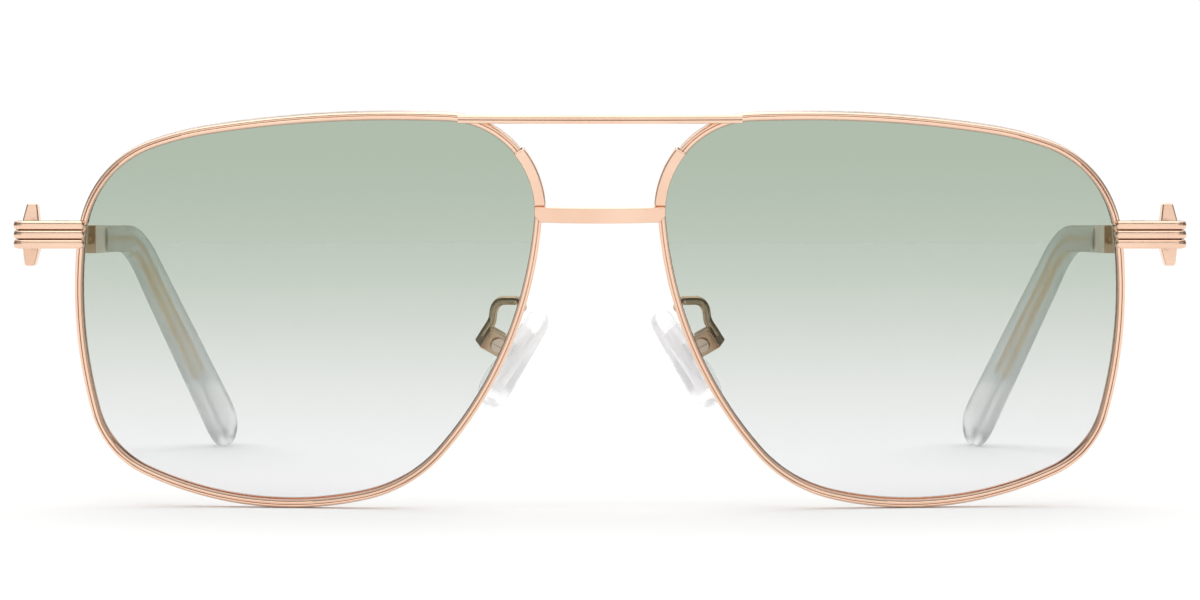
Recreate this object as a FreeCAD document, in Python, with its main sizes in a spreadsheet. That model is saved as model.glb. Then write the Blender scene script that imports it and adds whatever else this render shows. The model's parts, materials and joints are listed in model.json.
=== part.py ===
import FreeCAD, Part
import Sketcher
import math
import os

from FreeCAD import Placement, Rotation, Vector

# Metal aviator sunglasses with a double bridge, reeded end pieces and clear acetate temple tips.
# Millimetres. The front faces -Y, +Z is up, and +X is the wearer's left. The glasses stand open on
# the bottoms of the two rims and of the two temple tips; the origin is under the middle of them.
#
# Two local frames share one pivot, on the centreline at the height of the temples. The temple frame
# is level. The front frame leans its top forward by the pantoscopic tilt. In both, a point is
# (x outward, y backward, z up) from the pivot. Pieces of one side are made on +X and mirrored.

DIMENSIONS = [
    # placing of the two local frames
    ("front_offset", -70.15), ("pivot_height", 35.53), ("tilt_angle", 9.0),
    # curve of the front: rims and lenses lie between balls about one centre on each side
    ("curve_radius", 175.0), ("curve_centre_x", 18.0), ("curve_centre_z", -10.0),
    # rim wire, measured across and back from its front face
    ("rim_half_width", 0.5), ("rim_depth", 2.2), ("rim_lip_width", 0.38), ("rim_lip_step", 0.18),
    ("rim_split", 0.2), ("groove_front", 0.75), ("groove_back", 1.55), ("groove_floor", 0.35),
    ("lens_play", 0.02), ("lens_front", 0.3), ("lens_back", 2.1),
    # brow bar, bridge and the legs that join them down the rims
    ("brow_half_length", 18.1), ("brow_low", 14.1), ("brow_height", 1.0), ("brow_front", 0.55),
    ("brow_end_front", 1.0), ("brow_back", 2.4),
    ("bridge_half_length", 8.35), ("bridge_low", 1.6), ("bridge_top", 3.55),
    ("bridge_front", -1.2), ("bridge_end_front", -0.1), ("bridge_end_back", 0.9),
    ("bridge_back", 1.2), ("bridge_chamfer", 0.75),
    ("leg_outer", 0.95), ("leg_proud", 0.55), ("leg_back", 1.6), ("leg_top_x", 10.4),
    ("leg_top", 10.6), ("leg_top_slope", 27.0), ("leg_top_reach", 4.0), ("leg_foot_reach", 6.0),
    # end piece: in plan an L with a round corner, in section a plate with three reeds
    ("end_inner_x", 66.5), ("end_front_y", 6.35), ("end_side_x", 75.9), ("end_corner", 1.5),
    ("end_plate", 1.25), ("end_half_height", 1.8), ("reed_height", 0.4), ("butt_y", 12.6),
    # closing blocks that clamp the split rim, and their screw
    ("block_inner_x", 67.3), ("block_outer_x", 71.2), ("block_back_y", 10.4),
    ("block_half_height", 1.5), ("block_split", 0.15), ("clamp_x", 69.8), ("clamp_y", 9.1),
    ("clamp_radius", 0.55), ("clamp_head_radius", 0.9),
    # temple hinge: two knuckles on the front, one on the temple
    ("hinge_x", 72.2), ("hinge_y", 12.63), ("knuckle_radius", 1.1), ("knuckle_half_height", 1.45),
    ("middle_half_height", 0.58), ("knuckle_gap", 0.04), ("knuckle_room", 1.3),
    ("front_leaf_inner_x", 73.85),
    ("front_leaf_y", 8.4), ("front_web_y", 11.6), ("front_leaf_end_y", 12.3),
    ("temple_leaf_inner_x", 72.6), ("temple_leaf_y", 14.05), ("temple_leaf_end_y", 18.2),
    ("temple_leaf_half_height", 1.3), ("hinge_pin_radius", 0.6), ("hinge_head_radius", 0.95),
    ("screw_head_height", 0.35), ("screw_play", 0.03), ("slot_width", 0.25), ("slot_depth", 0.2),
    # temple, from the upright bar back to the tip
    ("bar_front_y", 12.66), ("bar_back_y", 14.9), ("bar_inner_x", 73.4), ("bar_outer_x", 75.5),
    ("bar_half_height", 4.1), ("bar_waist", 2.0), ("bar_end_width", 1.3), ("bar_lean", 0.18),
    ("arm_inner_x", 73.4), ("arm_outer_x", 75.0), ("arm_half_height", 1.8), ("arm_end_y", 60.0),
    ("arm_end_top", 1.15), ("arm_end_low", -1.6), ("arm_end_outer_x", 74.8),
    ("ferrule_end_y", 71.5), ("ferrule_top", 1.2), ("ferrule_low", -2.85),
    ("ferrule_inner_x", 72.7), ("ferrule_outer_x", 75.1),
    # temple tip: its middle line runs level to the bend, then falls back, down and inward
    ("tip_inner_x", 72.3), ("tip_outer_x", 75.4), ("tip_bend_y", 98.2), ("tip_axis_z", -0.85),
    ("tip_bend_shift", 1.6), ("tip_bend_radius", 22.0), ("tip_drop_angle", 37.7),
    ("tip_drop_length", 54.55), ("tip_end_shift", 13.2), ("tip_front_height", 4.05),
    ("tip_end_height", 6.8), ("tip_end_thickness", 3.8), ("tip_plan_beyond", 6.0),
    ("core_radius", 0.6), ("core_play", 0.03), ("core_length", 36.0),
    # nose pad: centre, angles, and sizes in its own frame
    ("pad_x", 11.3), ("pad_y", 11.3), ("pad_z", -16.2), ("pad_lean", 33.0), ("pad_splay", 22.0),
    ("pad_rake", 6.0), ("pad_half_length", 7.2), ("pad_top_radius", 2.1), ("pad_low_radius", 3.5),
    ("pad_half_thickness", 1.3), ("pad_round", 0.9),
    ("plate_half_length", 4.4), ("plate_half_width", 1.7), ("plate_half_thickness", 0.35),
    ("tab_half_thickness", 0.7), ("tab_radius", 1.1), ("pad_pivot_out", 3.5),
    ("pad_pivot_up", 0.8), ("cheek_inner", 0.78), ("cheek_outer", 1.5), ("box_half_height", 1.45),
    ("box_open", 1.2), ("box_floor", 1.3), ("box_back", 1.95), ("pad_screw_radius", 0.45),
    ("pad_screw_head_radius", 0.95),
    # pad arm: the points of its bent wire, where it leaves the rim, loops and meets the box
    ("wire_radius", 0.5), ("wire_bend", 1.3), ("wire_rim_x", 9.8), ("wire_rim_y", 3.0),
    ("wire_rim_z", -9.6), ("wire_loop_x", 10.3), ("wire_loop_y", 6.4), ("wire_loop_z", -8.5),
    ("wire_back_x", 13.6), ("wire_back_y", 8.6), ("wire_back_z", -8.5), ("wire_box_gap", 0.1),
    ("wire_above_box", 0.7), ("wire_in_box", 1.6),
]

# Middle line of a rim, seen from the front, as tangent arcs clockwise from its highest point:
# (radius, turn in degrees). The two arcs marked None take the radii that close the line.
RIM_START = (25.8, 14.9)
RIM_ARCS = [
    (139.7, 10.1), (41.4, 10.4), (14.85, 61.6), (63.3, 21.5), (11.2, 53.3),
    (None, 37.2), (18.8, 35.7), (None, 35.5), (11.85, 92.7), (187.0, 2.0),
]
OUTLINE_Y = -6.0      # plane of the rim outlines, in front of every piece
THROUGH = 40.0        # length of a solid that runs through every piece
PAST_SIDE = 100.0     # from the middle plane past every piece

doc = FreeCAD.newDocument("aviator_sunglasses")
dims = doc.addObject("Spreadsheet::Sheet", "dims")
for row, (alias, value) in enumerate(DIMENSIONS, 1):
    dims.set(f"A{row}", alias)
    dims.set(f"B{row}", str(value))
    dims.setAlias(f"B{row}", alias)
doc.recompute()


# ---------------------------------------------------------------- the sheet and the two frames

def size(alias):
    """A driving dimension as a number, for the shapes that code sets."""
    return float(dims.get(alias))


def bind(thing, **bindings):
    """Bind properties of an object to expressions on the sheet; __ in a name stands for a dot."""
    for name, expression in bindings.items():
        thing.setExpression(name.replace("__", "."), expression)
    return thing


def in_temple_frame(thing):
    return bind(thing, Placement__Base__y="dims.front_offset",
                Placement__Base__z="dims.pivot_height")


def in_front_frame(thing, x="0", y="0", z="0"):
    """Stand an object in the front frame, with its own origin at a point of that frame."""
    turn = Rotation(Vector(1, 0, 0), size("tilt_angle"))
    thing.Placement = Placement(Vector(0, 0, 0), turn)
    cosine, sine = "cos(dims.tilt_angle)", "sin(dims.tilt_angle)"
    return bind(
        thing, Placement__Rotation__Angle="dims.tilt_angle", Placement__Base__x=x,
        Placement__Base__y=f"dims.front_offset + ({y}) * {cosine} - ({z}) * {sine}",
        Placement__Base__z=f"dims.pivot_height + ({y}) * {sine} + ({z}) * {cosine}")


def pad_rotation():
    """The nose pad's own frame: x away from the nose, y backward, z up the pad."""
    lean = Rotation(Vector(0, 1, 0), -size("pad_lean"))
    rake = Rotation(Vector(1, 0, 0), size("pad_rake"))
    splay = Rotation(Vector(0, 0, 1), -size("pad_splay"))
    return lean * rake * splay


def in_pad_frame(thing):
    thing.Placement = Placement(Vector(0, 0, 0), pad_rotation())
    return bind(thing, Placement__Base__x="dims.pad_x",
                Placement__Base__y="dims.front_offset + dims.pad_y",
                Placement__Base__z="dims.pivot_height + dims.pad_z")


def temple_point(x, y, z):
    return Vector(x, y + size("front_offset"), z + size("pivot_height"))


# ---------------------------------------------------------------- booleans

def cut(name, base, *tools):
    for number_of_tool, tool in enumerate(tools, 1):
        made = doc.addObject("Part::Cut", f"{name}_cut{number_of_tool}")
        made.Base, made.Tool = base, tool
        base = made
    return base


def common(name, base, tool):
    made = doc.addObject("Part::Common", name)
    made.Base, made.Tool = base, tool
    return made


def fuse(name, *shapes):
    made = doc.addObject("Part::MultiFuse", name)
    made.Shapes = list(shapes)
    return made


# ---------------------------------------------------------------- sketches and bodies

def new_sketch(body, name, role, offset="0"):
    """A sketch on one of the body's origin planes, moved along that plane's normal."""
    sketch = body.newObject("Sketcher::SketchObject", name)
    plane = next(f for f in body.Origin.OriginFeatures if f.Role == role)
    sketch.AttachmentSupport = (plane, "")
    sketch.MapMode = "FlatFace"
    return bind(sketch, AttachmentOffset__Base__z=offset)


def number(thing, expression):
    value = thing.evalExpression(expression)
    return float(getattr(value, "Value", value))


def hold_point(sketch, geometry, end, name, across, up):
    """Hold a point at distances across and up from the sketch's origin, bound to the sheet."""
    for kind, part, expression in (("DistanceX", "x", across), ("DistanceY", "y", up)):
        held = sketch.addConstraint(
            Sketcher.Constraint(kind, -1, 1, geometry, end, number(sketch, expression)))
        sketch.renameConstraint(held, f"{name}_{part}")
        sketch.setExpression(f"Constraints.{name}_{part}", expression)


def left_turning_arc(start, middle, finish):
    """An arc through three points, in the direction that a sketch keeps its arcs."""
    turns_left = (middle - start).cross(finish - middle).z > 0
    return Part.Arc(start, middle, finish) if turns_left else Part.Arc(finish, middle, start)


def draw_polygon(sketch, corners, bulges):
    """A closed line through corners, each a pair of expressions. A side named in bulges is an arc
    through the point given there."""
    spots = [Vector(number(sketch, a), number(sketch, b), 0) for a, b in corners]
    following = spots[1:] + spots[:1]
    for i, (start, finish) in enumerate(zip(spots, following)):
        if i in bulges:
            middle = Vector(*(number(sketch, e) for e in bulges[i]), 0)
            sketch.addGeometry(left_turning_arc(start, middle, finish), False)
        else:
            sketch.addGeometry(Part.LineSegment(start, finish), False)
    ends = []
    for curve, start in zip(sketch.Geometry, spots):
        forward = curve.StartPoint.distanceToPoint(start) < 1e-6
        ends.append((1, 2) if forward else (2, 1))
    for i in range(len(spots)):
        after = (i + 1) % len(spots)
        sketch.addConstraint(Sketcher.Constraint("Coincident", i, ends[i][1], after, ends[after][0]))
    for i, (across, up) in enumerate(corners):
        hold_point(sketch, i, ends[i][0], f"corner{i}", across, up)
    for i, (across, up) in bulges.items():
        middle = Vector(number(sketch, across), number(sketch, up), 0)
        spot = sketch.addGeometry(Part.Point(middle), True)
        sketch.addConstraint(Sketcher.Constraint("PointOnObject", spot, 1, i))
        hold_point(sketch, spot, 1, f"bulge{i}", across, up)


def draw_circle(sketch, across, up, radius):
    centre = Vector(number(sketch, across), number(sketch, up), 0)
    circle = Part.Circle(centre, Vector(0, 0, 1), number(sketch, radius))
    index = sketch.addGeometry(circle, False)
    hold_point(sketch, index, 3, "centre", across, up)
    held = sketch.addConstraint(Sketcher.Constraint("Radius", index, number(sketch, radius)))
    sketch.renameConstraint(held, "radius")
    sketch.setExpression("Constraints.radius", radius)


def extrude(body, kind, sketch, length, reverse, symmetric):
    made = body.newObject(f"PartDesign::{kind}", f"{sketch.Name}_{kind}")
    made.Profile = sketch
    made.Reversed = reverse
    if symmetric:
        made.SideType = "Symmetric"
    return bind(made, Length=length)


def polygon_feature(body, kind, name, role, corners, length, offset="0", reverse=False,
                    symmetric=False, bulges=None):
    sketch = new_sketch(body, name, role, offset)
    draw_polygon(sketch, corners, bulges or {})
    return extrude(body, kind, sketch, length, reverse, symmetric)


def circle_feature(body, kind, name, role, centre, radius, length, offset="0", reverse=False,
                   symmetric=False):
    sketch = new_sketch(body, name, role, offset)
    draw_circle(sketch, *centre, radius)
    return extrude(body, kind, sketch, length, reverse, symmetric)


def prism(name, role, corners, length, **options):
    body = doc.addObject("PartDesign::Body", name)
    polygon_feature(body, "Pad", f"{name}_outline", role, corners, length, **options)
    return body


def rectangle(left, right, low, high):
    return [(left, low), (right, low), (right, high), (left, high)]


def slotted_screw(name, role, centre, half_length, radius, head_radius):
    """A shank through the plane, and a slotted head on the side that the plane's normal points to."""
    across, up = centre
    body = doc.addObject("PartDesign::Body", name)
    circle_feature(body, "Pad", f"{name}_shank", role, centre, radius, f"2 * {half_length}",
                   symmetric=True)
    circle_feature(body, "Pad", f"{name}_head", role, centre, head_radius,
                   "dims.screw_head_height", offset=half_length)
    past_head = f"({head_radius} + dims.slot_depth)"
    slot = rectangle(f"{across} - {past_head}", f"{across} + {past_head}",
                     f"{up} - dims.slot_width / 2", f"{up} + dims.slot_width / 2")
    polygon_feature(body, "Pocket", f"{name}_slot", role, slot, "dims.slot_depth",
                    offset=f"{half_length} + dims.screw_head_height")
    return body


# ---------------------------------------------------------------- rims and lenses

def rim_radii():
    """The radii of the rim's arcs, with the two open ones solved so that the line closes."""
    heading = 0.0
    gap = [0.0, 0.0]
    open_arcs = []
    for index, (radius, turn) in enumerate(RIM_ARCS):
        before, heading = heading, heading + math.radians(turn)
        step = (math.sin(heading) - math.sin(before), math.cos(heading) - math.cos(before))
        if radius is None:
            open_arcs.append((index, step))
        else:
            gap = [gap[0] + radius * step[0], gap[1] + radius * step[1]]
    (first, (a, c)), (second, (b, d)) = open_arcs
    determinant = a * d - b * c
    radii = [radius for radius, turn in RIM_ARCS]
    radii[first] = (b * gap[1] - d * gap[0]) / determinant
    radii[second] = (c * gap[0] - a * gap[1]) / determinant
    return radii


def rim_outline(name, outward):
    """A flat face, the rim's middle line moved outward, run through the front as a solid."""
    x, z = RIM_START[0], RIM_START[1] + outward
    heading = 0.0
    edges = []
    for radius, (_, turn) in zip(rim_radii(), RIM_ARCS):
        r = radius + outward
        centre_x, centre_z = x - r * math.sin(heading), z - r * math.cos(heading)
        points = [Vector(centre_x + r * math.sin(heading + math.radians(part * turn)), OUTLINE_Y,
                         centre_z + r * math.cos(heading + math.radians(part * turn)))
                  for part in (0, 0.5, 1)]
        edges.append(Part.Arc(*points).toShape())
        heading += math.radians(turn)
        x, z = points[2].x, points[2].z
    face = doc.addObject("Part::Feature", f"{name}_face")
    face.Shape = Part.Face(Part.Wire(edges))
    in_front_frame(face)
    solid = doc.addObject("Part::Extrusion", name)
    solid.Base = face
    tilt = math.radians(size("tilt_angle"))
    solid.DirMode = "Custom"
    solid.Dir = Vector(0, math.cos(tilt), math.sin(tilt))
    solid.LengthFwd = THROUGH
    solid.Solid = True
    return solid


def ball(name, depth):
    """A ball whose near side is the curve of the front, moved back by a depth."""
    made = bind(doc.addObject("Part::Sphere", name), Radius=f"dims.curve_radius - ({depth})")
    return in_front_frame(made, "dims.curve_centre_x", "dims.curve_radius", "dims.curve_centre_z")


def layer(name, solid, front, back):
    """The part of a solid that lies between two depths behind the curve of the front."""
    inside = common(f"{name}_inside", solid, ball(f"{name}_front_ball", front))
    return cut(name, inside, ball(f"{name}_back_ball", back))


def make_rim_blank():
    """All that a rim and its lens take up. Every piece that meets the rim is cut by it."""
    return layer("rim_blank", rim_outline("rim_outside", size("rim_half_width")), "0",
                 "dims.rim_depth")


def make_rim(blank):
    opening = rim_outline("rim_opening", -size("rim_half_width"))
    lip = rim_outline("rim_lip", size("rim_lip_width") - size("rim_half_width"))
    groove = rim_outline("rim_groove", size("groove_floor") - size("rim_half_width"))
    lip_cutter = cut("rim_lip_cutter", lip, ball("rim_lip_ball", "dims.rim_lip_step"))
    groove_cutter = layer("rim_groove_cutter", groove, "dims.groove_front", "dims.groove_back")
    split = in_front_frame(prism(
        "rim_split_cutter", "XZ_Plane",
        rectangle("dims.block_inner_x - 3", "dims.block_outer_x", "-dims.rim_split / 2",
                  "dims.rim_split / 2"), str(THROUGH), reverse=True))
    return cut("rim", blank, opening, lip_cutter, groove_cutter, split)


def make_lens():
    face = rim_outline("lens_outside", -size("rim_half_width") - size("lens_play"))
    edge = rim_outline("lens_edge", size("groove_floor") - size("rim_half_width")
                       - size("lens_play"))
    body = layer("lens_body", face, "dims.lens_front", "dims.lens_back")
    bevel = layer("lens_bevel", edge, "dims.groove_front + dims.lens_play",
                  "dims.groove_back - dims.lens_play")
    return fuse("lens_whole", body, bevel)


# ---------------------------------------------------------------- brow bar, bridge and legs

def mirror_corners(corners):
    return corners + [(f"-({across})", up) for across, up in reversed(corners)]


def make_brow_bar(blanks):
    corners = mirror_corners([("dims.brow_half_length", "dims.brow_end_front"),
                              ("dims.brow_half_length", "dims.brow_back")])
    front_side = {3: ("0", "dims.brow_front")}
    bar = in_front_frame(prism("brow_bar_blank", "XY_Plane", corners, "dims.brow_height",
                               offset="dims.brow_low", bulges=front_side))
    return cut("brow_bar_whole", bar, *blanks)


def make_bridge(blanks):
    plan = mirror_corners([("dims.bridge_half_length", "dims.bridge_end_front"),
                           ("dims.bridge_half_length", "dims.bridge_end_back")])
    curved_sides = {1: ("0", "dims.bridge_back"), 3: ("0", "dims.bridge_front")}
    bar = prism("bridge_blank", "XY_Plane", plan, "dims.bridge_top - dims.bridge_low",
                offset="dims.bridge_low", bulges=curved_sides)
    for side, end in (("left", "dims.bridge_half_length"), ("right", "-dims.bridge_half_length")):
        inward = "-" if side == "left" else "+"
        corner = [(end, "dims.bridge_low"), (f"{end} {inward} dims.bridge_chamfer", "dims.bridge_low"),
                  (end, "dims.bridge_low + dims.bridge_chamfer")]
        polygon_feature(bar, "Pocket", f"bridge_{side}_chamfer", "XZ_Plane", corner, str(THROUGH),
                        symmetric=True)
    return cut("bridge_whole", in_front_frame(bar), *blanks)


def make_bridge_leg(blank):
    strip = layer("leg_strip", rim_outline("leg_outside", size("leg_outer")), "-dims.leg_proud",
                  "dims.leg_back")
    reach = "dims.leg_top_reach"
    slope = f"{reach} * tan(dims.leg_top_slope)"
    region = in_front_frame(prism("leg_region", "XZ_Plane", [
        ("dims.leg_top_x - dims.leg_foot_reach", "dims.bridge_top"),
        (f"dims.leg_top_x + {reach}", "dims.bridge_top"),
        (f"dims.leg_top_x + {reach}", f"dims.leg_top - {slope}"),
        (f"dims.leg_top_x - {reach}", f"dims.leg_top + {slope}")],
        str(THROUGH), symmetric=True))
    opening = rim_outline("leg_opening", -size("rim_half_width"))
    return cut("leg", common("leg_blank", strip, region), opening, blank)


# ---------------------------------------------------------------- end piece and closing blocks

def make_end_piece(blank):
    """The reeded plate is swept round the corner, from over the rim to the butt."""
    body = doc.addObject("PartDesign::Body", "end_piece_blank")
    path = new_sketch(body, "end_piece_path", "XY_Plane")
    start, corner_x = "dims.end_inner_x", "dims.end_side_x - dims.end_corner"
    corner_y = "dims.end_front_y + dims.end_corner"
    points = [(start, "dims.end_front_y"), (corner_x, "dims.end_front_y"),
              ("dims.end_side_x", corner_y), ("dims.end_side_x", "dims.butt_y")]
    bulge = (f"{corner_x} + dims.end_corner * sin(45)", f"{corner_y} - dims.end_corner * cos(45)")
    spots = [Vector(number(path, a), number(path, b), 0) for a, b in points]
    middle = Vector(number(path, bulge[0]), number(path, bulge[1]), 0)
    path.addGeometry(Part.LineSegment(spots[0], spots[1]), False)
    path.addGeometry(left_turning_arc(spots[1], middle, spots[2]), False)
    path.addGeometry(Part.LineSegment(spots[2], spots[3]), False)
    arc_first, arc_last = 1, 2
    if path.Geometry[1].StartPoint.distanceToPoint(spots[1]) > 1e-6:
        arc_first, arc_last = 2, 1
    path.addConstraint(Sketcher.Constraint("Tangent", 0, 2, 1, arc_first))
    path.addConstraint(Sketcher.Constraint("Tangent", 1, arc_last, 2, 1))
    hold_point(path, 0, 1, "start", *points[0])
    hold_point(path, 2, 1, "turned", *points[2])
    hold_point(path, 2, 2, "finish", *points[3])

    section = new_sketch(body, "end_piece_section", "YZ_Plane", start)
    valley = "dims.end_front_y + dims.reed_height"
    crest = "dims.end_front_y"
    back = "dims.end_front_y + dims.end_plate"
    pitch = "dims.end_half_height * 2 / 3"
    heights = [f"-dims.end_half_height + {i} * {pitch}" for i in range(4)]
    corners = [(valley, height) for height in heights]
    corners += [(back, "dims.end_half_height"), (back, "-dims.end_half_height")]
    reeds = {i: (crest, f"{heights[i]} + {pitch} / 2") for i in range(3)}
    draw_polygon(section, corners, reeds)
    sweep = body.newObject("PartDesign::AdditivePipe", "end_piece_sweep")
    sweep.Profile = section
    sweep.Spine = (path, ["Edge1", "Edge2", "Edge3"])
    return cut("end_piece", in_temple_frame(body), blank)


def make_closing_blocks(blank):
    blocks = []
    for name, low, high in (("upper", "dims.block_split / 2", "dims.block_half_height"),
                            ("lower", "-dims.block_half_height", "-dims.block_split / 2")):
        front = "dims.end_front_y + dims.end_plate"
        block = prism(f"closing_block_{name}_blank", "XY_Plane",
                      rectangle("dims.block_inner_x", "dims.block_outer_x", front,
                                "dims.block_back_y"), f"({high}) - ({low})", offset=low)
        circle_feature(block, "Pocket", f"closing_block_{name}_bore", "XY_Plane",
                       ("dims.clamp_x", "dims.clamp_y"), "dims.clamp_radius", str(THROUGH),
                       symmetric=True)
        blocks.append(cut(f"closing_block_{name}", in_temple_frame(block), blank))
    return blocks


def make_closing_screw():
    return in_temple_frame(slotted_screw(
        "closing_screw", "XY_Plane", ("dims.clamp_x", "dims.clamp_y"), "dims.block_half_height",
        "dims.clamp_radius", "dims.clamp_head_radius"))


# ---------------------------------------------------------------- hinge

HINGE_AXIS = ("dims.hinge_x", "dims.hinge_y")


def make_front_hinge():
    body = prism("front_hinge", "XY_Plane", [
        ("dims.front_leaf_inner_x", "dims.front_leaf_y"),
        ("dims.end_side_x - dims.end_plate", "dims.front_leaf_y"),
        ("dims.end_side_x - dims.end_plate", "dims.front_leaf_end_y"),
        ("dims.hinge_x", "dims.front_leaf_end_y"), ("dims.hinge_x", "dims.front_web_y"),
        ("dims.front_leaf_inner_x", "dims.front_web_y")],
        "2 * dims.knuckle_half_height", symmetric=True)
    circle_feature(body, "Pad", "front_knuckles", "XY_Plane", HINGE_AXIS, "dims.knuckle_radius",
                   "2 * dims.knuckle_half_height", symmetric=True)
    room = "dims.knuckle_room * dims.knuckle_radius"
    polygon_feature(body, "Pocket", "front_knuckle_room", "XY_Plane",
                    rectangle(f"dims.hinge_x - {room}", "dims.front_leaf_inner_x",
                              f"dims.hinge_y - {room}", f"dims.hinge_y + {room}"),
                    "2 * (dims.middle_half_height + dims.knuckle_gap)", symmetric=True)
    circle_feature(body, "Pocket", "front_hinge_bore", "XY_Plane", HINGE_AXIS,
                   "dims.hinge_pin_radius", str(THROUGH), symmetric=True)
    return in_temple_frame(body)


def make_temple_hinge():
    body = prism("temple_hinge", "XY_Plane",
                 rectangle("dims.temple_leaf_inner_x", "dims.arm_inner_x", "dims.temple_leaf_y",
                           "dims.temple_leaf_end_y"),
                 "2 * dims.temple_leaf_half_height", symmetric=True)
    polygon_feature(body, "Pad", "temple_hinge_web", "XY_Plane",
                    rectangle("dims.hinge_x", "dims.arm_inner_x", "dims.bar_front_y",
                              "dims.temple_leaf_y + 0.5"),
                    "2 * dims.middle_half_height", symmetric=True)
    circle_feature(body, "Pad", "temple_knuckle", "XY_Plane", HINGE_AXIS, "dims.knuckle_radius",
                   "2 * dims.middle_half_height", symmetric=True)
    circle_feature(body, "Pocket", "temple_hinge_bore", "XY_Plane", HINGE_AXIS,
                   "dims.hinge_pin_radius + dims.screw_play", str(THROUGH), symmetric=True)
    return in_temple_frame(body)


def make_hinge_screw():
    return in_temple_frame(slotted_screw(
        "hinge_screw", "XY_Plane", HINGE_AXIS, "dims.knuckle_half_height",
        "dims.hinge_pin_radius", "dims.hinge_head_radius"))


# ---------------------------------------------------------------- temple

def two_views(name, side_view, plan):
    """A solid that fills both its side view, in y and z, and its plan, in x and y."""
    side = in_temple_frame(prism(f"{name}_side", "YZ_Plane", side_view, str(PAST_SIDE)))
    top = in_temple_frame(prism(f"{name}_plan", "XY_Plane", plan, str(PAST_SIDE), symmetric=True))
    return common(f"{name}_views", side, top)


def make_temple_bar():
    middle = "(dims.bar_inner_x + dims.bar_outer_x) / 2"
    half = "dims.bar_end_width / 2"
    corners = [
        ("dims.bar_inner_x", "-dims.bar_waist"),
        (f"{middle} - {half} + dims.bar_lean", "-dims.bar_half_height"),
        (f"{middle} + {half} + dims.bar_lean", "-dims.bar_half_height"),
        ("dims.bar_outer_x", "-dims.bar_waist"), ("dims.bar_outer_x", "dims.bar_waist"),
        (f"{middle} + {half} - dims.bar_lean", "dims.bar_half_height"),
        (f"{middle} - {half} - dims.bar_lean", "dims.bar_half_height"),
        ("dims.bar_inner_x", "dims.bar_waist")]
    return in_temple_frame(prism("temple_bar", "XZ_Plane", corners,
                                 "dims.bar_back_y - dims.bar_front_y",
                                 offset="-dims.bar_front_y", reverse=True))


def make_temple_arm():
    side_view = [("dims.bar_back_y", "-dims.arm_half_height"), ("dims.arm_end_y", "dims.arm_end_low"),
                 ("dims.arm_end_y", "dims.arm_end_top"), ("dims.bar_back_y", "dims.arm_half_height")]
    plan = [("dims.arm_inner_x", "dims.bar_back_y"), ("dims.arm_outer_x", "dims.bar_back_y"),
            ("dims.arm_end_outer_x", "dims.arm_end_y"), ("dims.arm_inner_x", "dims.arm_end_y")]
    return two_views("temple_arm", side_view, plan)


def drop_point(along, across):
    """Expressions of a point of the tip's side view, from the bend down the drop and across it."""
    cosine, sine = "cos(dims.tip_drop_angle)", "sin(dims.tip_drop_angle)"
    return (f"dims.tip_bend_y + ({along}) * {cosine} + ({across}) * {sine}",
            f"dims.tip_axis_z - ({along}) * {sine} + ({across}) * {cosine}")


def make_temple_tip(core_room):
    half, end_half = "dims.tip_front_height / 2", "dims.tip_end_height / 2"
    mitre = "tan(dims.tip_drop_angle / 2)"
    side_view = [
        ("dims.ferrule_end_y", f"dims.tip_axis_z - {half}"),
        (f"dims.tip_bend_y - {half} * {mitre}", f"dims.tip_axis_z - {half}"),
        drop_point(f"dims.tip_drop_length - {end_half}", f"-{end_half}"),
        drop_point(f"dims.tip_drop_length - {end_half}", end_half),
        (f"dims.tip_bend_y + {half} * {mitre}", f"dims.tip_axis_z + {half}"),
        ("dims.ferrule_end_y", f"dims.tip_axis_z + {half}")]
    reach = "(dims.tip_drop_length * cos(dims.tip_drop_angle))"
    inner, outer = "dims.tip_inner_x - dims.tip_bend_shift", "dims.tip_outer_x - dims.tip_bend_shift"
    end = f"dims.tip_bend_y + {reach} + dims.tip_plan_beyond"
    lost = "dims.tip_end_shift"
    plan = [
        ("dims.tip_inner_x", "dims.ferrule_end_y"), ("dims.tip_outer_x", "dims.ferrule_end_y"),
        (outer, "dims.tip_bend_y"), (f"dims.tip_inner_x + dims.tip_end_thickness - {lost}", end),
        (f"dims.tip_inner_x - {lost}", end), (inner, "dims.tip_bend_y")]
    side = prism("temple_tip_side", "YZ_Plane", side_view, str(PAST_SIDE),
                 bulges={2: drop_point("dims.tip_drop_length", "0")})
    top = prism("temple_tip_plan", "XY_Plane", plan, str(PAST_SIDE), symmetric=True)
    blank = common("temple_tip_views", in_temple_frame(side), in_temple_frame(top))
    return cut("temple_tip", blank, core_room)


def core_path(start_y, end_along):
    """The middle line of the core wire: level, round the bend, and down the drop."""
    middle = (size("tip_inner_x") + size("tip_outer_x")) / 2
    drop = math.radians(size("tip_drop_angle"))
    down = size("tip_drop_length") * math.sin(drop)
    back = size("tip_drop_length") * math.cos(drop)
    start = temple_point(middle, start_y, size("tip_axis_z"))
    bend = temple_point(middle - size("tip_bend_shift"), size("tip_bend_y"), size("tip_axis_z"))
    inward = size("tip_end_shift") - size("tip_bend_shift")
    end_middle = middle - size("tip_bend_shift") - inward * back / (back + size("tip_plan_beyond"))
    direction = (temple_point(end_middle, size("tip_bend_y") + back, size("tip_axis_z") - down)
                 - bend).normalize()
    return bent_line([start, bend, bend + direction * end_along], size("tip_bend_radius"))


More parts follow.
